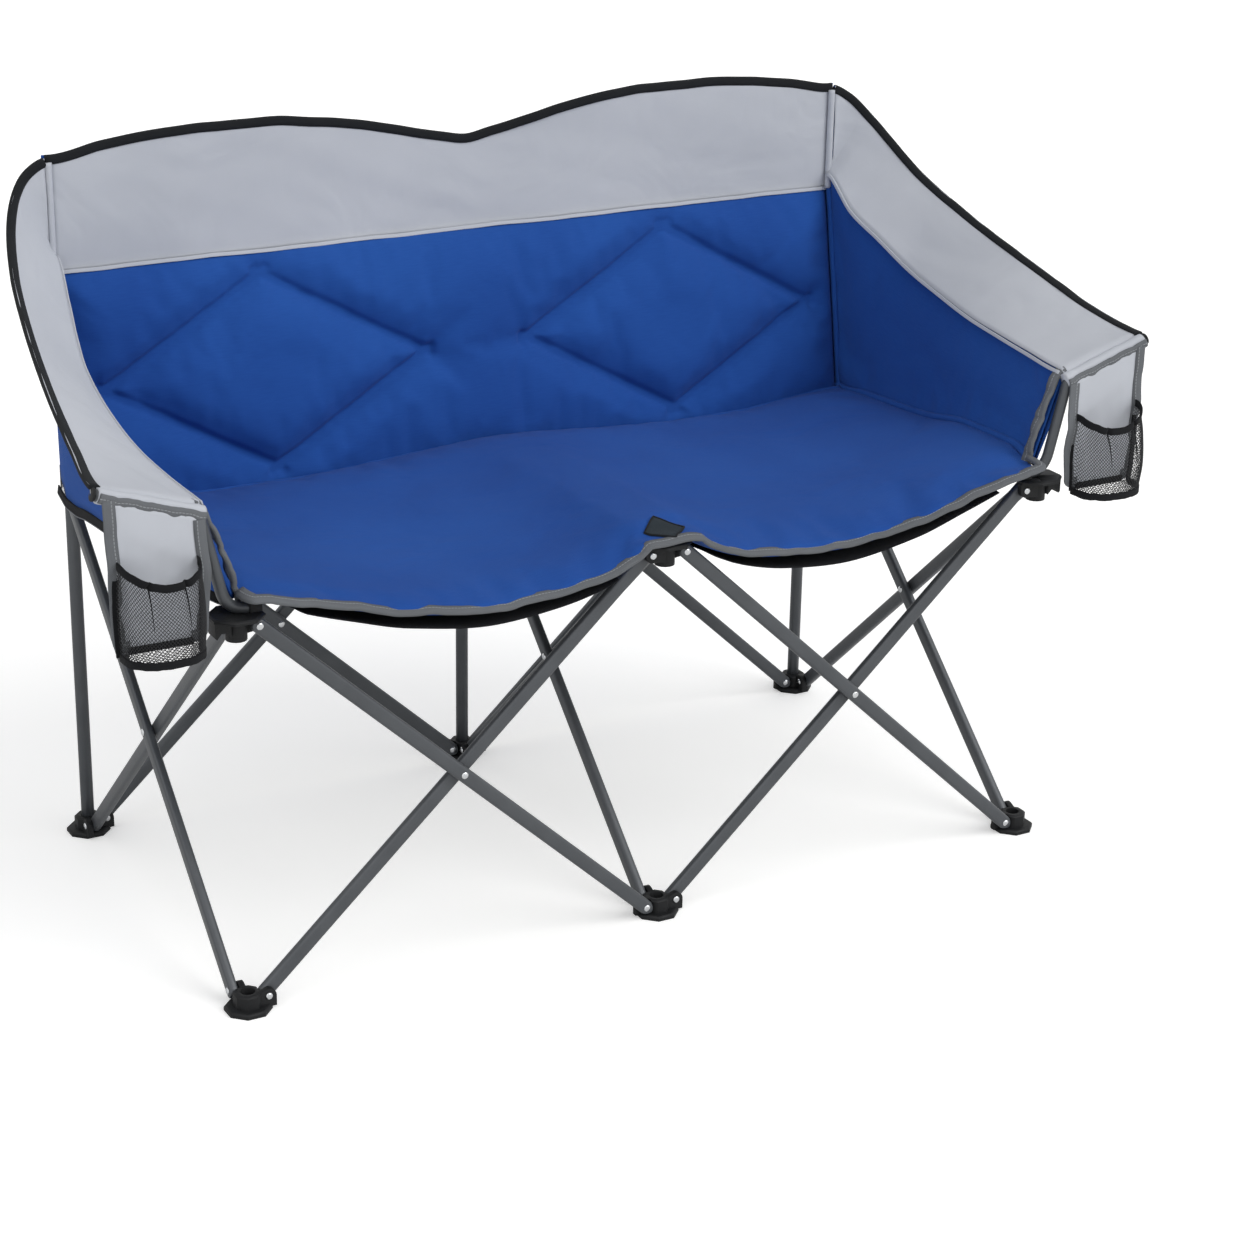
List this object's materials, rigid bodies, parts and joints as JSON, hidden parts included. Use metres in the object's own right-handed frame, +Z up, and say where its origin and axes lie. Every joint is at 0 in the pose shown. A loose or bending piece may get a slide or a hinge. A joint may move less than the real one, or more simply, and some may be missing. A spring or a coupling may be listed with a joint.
{
  "type": "folding camping loveseat",
  "caption": "Wide folding camp seat for people side by side: padded bucket cover slung on a scissor-braced tube frame, with hanging net pockets at the arms.",
  "frame": {"origin": "on the floor, under the middle of the outline of the opened seat", "axes": "+Z up, -Y the way the sitters face, +X to the right as seen from the front"},
  "size_m": [1.3458, 0.6066, 0.878],
  "materials": {
    "frame_steel": "dark grey powder coat, satin",
    "rivet_steel": "bright plated",
    "moulded_plastic": "moulded, fine grain",
    "blue_cloth": "close woven, padded",
    "grey_cloth": "close woven",
    "black_cloth": "close woven",
    "pocket_net": "open net with an elastic rim"
  },
  "bodies": {
    "back_centre_post": {"foot_back_centre": "moulded_plastic", "post_back_centre": "frame_steel", "post_cap_back_centre": "moulded_plastic", "back_cushion": "blue_cloth", "back_band": "grey_cloth"},
    "back_left_post": {"foot_back_left": "moulded_plastic", "post_back_left": "frame_steel", "post_cap_back_left": "moulded_plastic", "wing_cushion_left": "blue_cloth", "wing_band_left": "grey_cloth"},
    "back_right_post": {"foot_back_right": "moulded_plastic", "post_back_right": "frame_steel", "post_cap_back_right": "moulded_plastic", "wing_cushion_right": "blue_cloth", "wing_band_right": "grey_cloth"},
    "front_left_foot": {"foot_front_left": "moulded_plastic"},
    "front_centre_foot": {"foot_front_centre": "moulded_plastic"},
    "front_right_foot": {"foot_front_right": "moulded_plastic"},
    "hub_back_left": {"sliding_hub_back_left": "moulded_plastic"},
    "hub_back_centre": {"sliding_hub_back_centre": "moulded_plastic", "seat_cushion": "blue_cloth", "seat_sling": "black_cloth"},
    "hub_back_right": {"sliding_hub_back_right": "moulded_plastic"},
    "hub_front_left": {"front_hub_front_left": "moulded_plastic", "arm_tube_left": "frame_steel", "arm_cap_left": "moulded_plastic", "hanging_panel_left": "grey_cloth", "net_pocket_left": "pocket_net"},
    "hub_front_centre": {"front_hub_front_centre": "moulded_plastic", "seat_patch": "black_cloth"},
    "hub_front_right": {"front_hub_front_right": "moulded_plastic", "arm_tube_right": "frame_steel", "arm_cap_right": "moulded_plastic", "hanging_panel_right": "grey_cloth", "net_pocket_right": "pocket_net"},
    "tube_back_left_from_back_centre": {"tube_back_left_from_back_centre": "frame_steel", "crossing_rivet_back_left": "rivet_steel"},
    "tube_back_left_from_back_left": {"tube_back_left_from_back_left": "frame_steel"},
    "tube_back_right_from_back_centre": {"tube_back_right_from_back_centre": "frame_steel", "crossing_rivet_back_right": "rivet_steel"},
    "tube_back_right_from_back_right": {"tube_back_right_from_back_right": "frame_steel"},
    "tube_middle_from_back_centre": {"tube_middle_from_back_centre": "frame_steel", "crossing_rivet_middle": "rivet_steel"},
    "tube_middle_from_front_centre": {"tube_middle_from_front_centre": "frame_steel"},
    "tube_front_left_from_front_centre": {"tube_front_left_from_front_centre": "frame_steel", "crossing_rivet_front_left": "rivet_steel"},
    "tube_front_left_from_front_left": {"tube_front_left_from_front_left": "frame_steel"},
    "tube_front_right_from_front_centre": {"tube_front_right_from_front_centre": "frame_steel", "crossing_rivet_front_right": "rivet_steel"},
    "tube_front_right_from_front_right": {"tube_front_right_from_front_right": "frame_steel"},
    "tube_side_left_from_back_left": {"tube_side_left_from_back_left": "frame_steel", "crossing_rivet_side_left": "rivet_steel"},
    "tube_side_left_from_front_left": {"tube_side_left_from_front_left": "frame_steel"},
    "tube_side_right_from_back_right": {"tube_side_right_from_back_right": "frame_steel", "crossing_rivet_side_right": "rivet_steel"},
    "tube_side_right_from_front_right": {"tube_side_right_from_front_right": "frame_steel"}
  },
  "joints": [
    {"name": "fold", "type": "hinge", "parent": "back_centre_post", "child": "tube_back_left_from_back_centre", "pos_m": [-0.021, 0.27833, 0.016], "axis": [0, 1, 0], "range_deg": [0, 39], "deforming": ["seat_cushion", "seat_sling", "back_cushion", "back_band", "wing_cushion_left", "wing_cushion_right", "wing_band_left", "wing_band_right"]},
    {"name": "crossing_back_left", "type": "hinge", "parent": "tube_back_left_from_back_centre", "child": "tube_back_left_from_back_left", "pos_m": [-0.26, 0.27833, 0.236], "axis": [0, -1, 0], "range_deg": [0, 78]},
    {"name": "pivot_back_left_at_foot_back_left", "type": "hinge", "parent": "tube_back_left_from_back_left", "child": "back_left_post", "pos_m": [-0.499, 0.27833, 0.016], "axis": [0, 1, 0], "range_deg": [0, 39]},
    {"name": "pivot_back_left_at_hub_back_left", "type": "hinge", "parent": "tube_back_left_from_back_centre", "child": "hub_back_left", "pos_m": [-0.499, 0.27833, 0.456], "axis": [0, -1, 0], "range_deg": [0, 39]},
    {"name": "pivot_back_left_at_hub_back_centre", "type": "hinge", "parent": "tube_back_left_from_back_left", "child": "hub_back_centre", "pos_m": [-0.021, 0.27833, 0.456], "axis": [0, 1, 0], "range_deg": [0, 39]},
    {"name": "pivot_back_right_at_foot_back_centre", "type": "hinge", "parent": "back_centre_post", "child": "tube_back_right_from_back_centre", "pos_m": [0.021, 0.27833, 0.016], "axis": [0, -1, 0], "range_deg": [0, 39]},
    {"name": "crossing_back_right", "type": "hinge", "parent": "tube_back_right_from_back_centre", "child": "tube_back_right_from_back_right", "pos_m": [0.26, 0.27833, 0.236], "axis": [0, 1, 0], "range_deg": [0, 78]},
    {"name": "pivot_back_right_at_foot_back_right", "type": "hinge", "parent": "tube_back_right_from_back_right", "child": "back_right_post", "pos_m": [0.499, 0.27833, 0.016], "axis": [0, -1, 0], "range_deg": [0, 39]},
    {"name": "pivot_back_right_at_hub_back_right", "type": "hinge", "parent": "tube_back_right_from_back_centre", "child": "hub_back_right", "pos_m": [0.499, 0.27833, 0.456], "axis": [0, 1, 0], "range_deg": [0, 39]},
    {"name": "pivot_middle_at_foot_back_centre", "type": "hinge", "parent": "back_centre_post", "child": "tube_middle_from_back_centre", "pos_m": [0, 0.25733, 0.016], "axis": [-1, 0, 0], "range_deg": [0, 39]},
    {"name": "crossing_middle", "type": "hinge", "parent": "tube_middle_from_back_centre", "child": "tube_middle_from_front_centre", "pos_m": [0, 0.01833, 0.236], "axis": [1, 0, 0], "range_deg": [0, 78]},
    {"name": "pivot_middle_at_foot_front_centre", "type": "hinge", "parent": "tube_middle_from_front_centre", "child": "front_centre_foot", "pos_m": [0, -0.22067, 0.016], "axis": [-1, 0, 0], "range_deg": [0, 39]},
    {"name": "pivot_middle_at_hub_front_centre", "type": "hinge", "parent": "tube_middle_from_back_centre", "child": "hub_front_centre", "pos_m": [0, -0.22067, 0.456], "axis": [1, 0, 0], "range_deg": [0, 39]},
    {"name": "pivot_front_left_at_foot_front_centre", "type": "hinge", "parent": "front_centre_foot", "child": "tube_front_left_from_front_centre", "pos_m": [-0.021, -0.24167, 0.016], "axis": [0, 1, 0], "range_deg": [0, 39]},
    {"name": "crossing_front_left", "type": "hinge", "parent": "tube_front_left_from_front_centre", "child": "tube_front_left_from_front_left", "pos_m": [-0.26, -0.24167, 0.236], "axis": [0, -1, 0], "range_deg": [0, 78]},
    {"name": "pivot_front_left_at_foot_front_left", "type": "hinge", "parent": "tube_front_left_from_front_left", "child": "front_left_foot", "pos_m": [-0.499, -0.24167, 0.016], "axis": [0, 1, 0], "range_deg": [0, 39]},
    {"name": "pivot_front_left_at_hub_front_left", "type": "hinge", "parent": "tube_front_left_from_front_centre", "child": "hub_front_left", "pos_m": [-0.499, -0.24167, 0.456], "axis": [0, -1, 0], "range_deg": [0, 39]},
    {"name": "pivot_front_right_at_foot_front_centre", "type": "hinge", "parent": "front_centre_foot", "child": "tube_front_right_from_front_centre", "pos_m": [0.021, -0.24167, 0.016], "axis": [0, -1, 0], "range_deg": [0, 39]},
    {"name": "crossing_front_right", "type": "hinge", "parent": "tube_front_right_from_front_centre", "child": "tube_front_right_from_front_right", "pos_m": [0.26, -0.24167, 0.236], "axis": [0, 1, 0], "range_deg": [0, 78]},
    {"name": "pivot_front_right_at_foot_front_right", "type": "hinge", "parent": "tube_front_right_from_front_right", "child": "front_right_foot", "pos_m": [0.499, -0.24167, 0.016], "axis": [0, -1, 0], "range_deg": [0, 39]},
    {"name": "pivot_front_right_at_hub_front_right", "type": "hinge", "parent": "tube_front_right_from_front_centre", "child": "hub_front_right", "pos_m": [0.499, -0.24167, 0.456], "axis": [0, 1, 0], "range_deg": [0, 39]},
    {"name": "pivot_side_left_at_foot_back_left", "type": "hinge", "parent": "back_left_post", "child": "tube_side_left_from_back_left", "pos_m": [-0.52, 0.25733, 0.016], "axis": [-1, 0, 0], "range_deg": [0, 39]},
    {"name": "crossing_side_left", "type": "hinge", "parent": "tube_side_left_from_back_left", "child": "tube_side_left_from_front_left", "pos_m": [-0.52, 0.01833, 0.236], "axis": [1, 0, 0], "range_deg": [0, 78]},
    {"name": "pivot_side_right_at_foot_back_right", "type": "hinge", "parent": "back_right_post", "child": "tube_side_right_from_back_right", "pos_m": [0.52, 0.25733, 0.016], "axis": [-1, 0, 0], "range_deg": [0, 39]},
    {"name": "crossing_side_right", "type": "hinge", "parent": "tube_side_right_from_back_right", "child": "tube_side_right_from_front_right", "pos_m": [0.52, 0.01833, 0.236], "axis": [1, 0, 0], "range_deg": [0, 78]}
  ],
  "couplings": [
    {"joint": "crossing_back_left", "follows": "fold", "ratio": 2},
    {"joint": "pivot_back_left_at_foot_back_left", "follows": "fold", "ratio": 1},
    {"joint": "pivot_back_left_at_hub_back_left", "follows": "fold", "ratio": 1},
    {"joint": "pivot_back_left_at_hub_back_centre", "follows": "fold", "ratio": 1},
    {"joint": "pivot_back_right_at_foot_back_centre", "follows": "fold", "ratio": 1},
    {"joint": "crossing_back_right", "follows": "fold", "ratio": 2},
    {"joint": "pivot_back_right_at_foot_back_right", "follows": "fold", "ratio": 1},
    {"joint": "pivot_back_right_at_hub_back_right", "follows": "fold", "ratio": 1},
    {"joint": "pivot_middle_at_foot_back_centre", "follows": "fold", "ratio": 1},
    {"joint": "crossing_middle", "follows": "fold", "ratio": 2},
    {"joint": "pivot_middle_at_foot_front_centre", "follows": "fold", "ratio": 1},
    {"joint": "pivot_middle_at_hub_front_centre", "follows": "fold", "ratio": 1},
    {"joint": "pivot_front_left_at_foot_front_centre", "follows": "fold", "ratio": 1},
    {"joint": "crossing_front_left", "follows": "fold", "ratio": 2},
    {"joint": "pivot_front_left_at_foot_front_left", "follows": "fold", "ratio": 1},
    {"joint": "pivot_front_left_at_hub_front_left", "follows": "fold", "ratio": 1},
    {"joint": "pivot_front_right_at_foot_front_centre", "follows": "fold", "ratio": 1},
    {"joint": "crossing_front_right", "follows": "fold", "ratio": 2},
    {"joint": "pivot_front_right_at_foot_front_right", "follows": "fold", "ratio": 1},
    {"joint": "pivot_front_right_at_hub_front_right", "follows": "fold", "ratio": 1},
    {"joint": "pivot_side_left_at_foot_back_left", "follows": "fold", "ratio": 1},
    {"joint": "crossing_side_left", "follows": "fold", "ratio": 2},
    {"joint": "pivot_side_right_at_foot_back_right", "follows": "fold", "ratio": 1},
    {"joint": "crossing_side_right", "follows": "fold", "ratio": 2}
  ]
}
